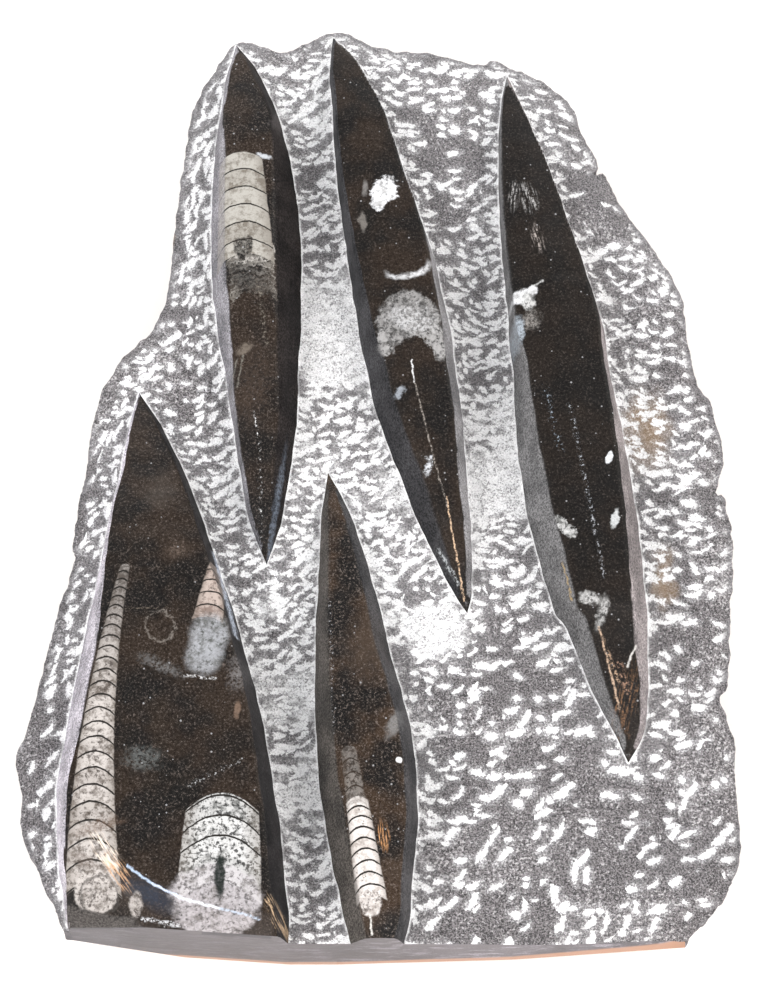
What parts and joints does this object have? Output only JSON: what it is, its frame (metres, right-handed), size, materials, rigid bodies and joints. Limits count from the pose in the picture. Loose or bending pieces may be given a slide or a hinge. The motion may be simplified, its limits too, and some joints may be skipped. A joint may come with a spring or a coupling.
{
  "type": "orthoceras fossil plaque",
  "caption": "Flat slab of hammered grey limestone with polished black spindle ridges that show pale chambered straight-shell fossils, with a sawn foot.",
  "frame": {"origin": "under the middle of the plaque, on the flat back plane that it lies on", "axes": "+Z out of the hammered face, +Y towards the narrow end of the plaque, -Y towards its sawn foot, +X to the right of the face"},
  "size_m": [0.216, 0.3, 0.0378],
  "materials": {
    "stone": "matte"
  },
  "bodies": {
    "root": {"fossil_slab": "stone"}
  },
  "joints": []
}
